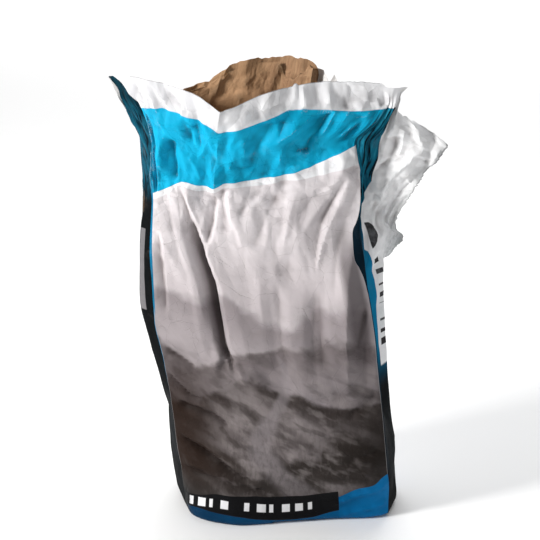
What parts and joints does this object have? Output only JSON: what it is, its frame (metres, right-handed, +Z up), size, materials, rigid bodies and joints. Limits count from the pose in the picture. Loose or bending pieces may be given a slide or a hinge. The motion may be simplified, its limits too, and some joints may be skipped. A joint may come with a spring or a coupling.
{
  "type": "multi-ply paper feed sack",
  "caption": "Opened gusseted paper sack for calf milk powder, standing upright, with a printed outer ply torn at one side and kraft plies inside.",
  "frame": {"origin": "middle of the flat bottom that the sack stands on", "axes": "+Z up towards the mouth, the printed front panel faces -Y, +X to the right seen from the front"},
  "size_m": [0.5554, 0.1866, 0.82],
  "materials": {
    "printed_paper": "semi-gloss coated print",
    "kraft_paper": "matte"
  },
  "bodies": {
    "root": {"outer_ply": "printed_paper", "middle_ply": "kraft_paper", "inner_ply": "kraft_paper"}
  },
  "joints": []
}
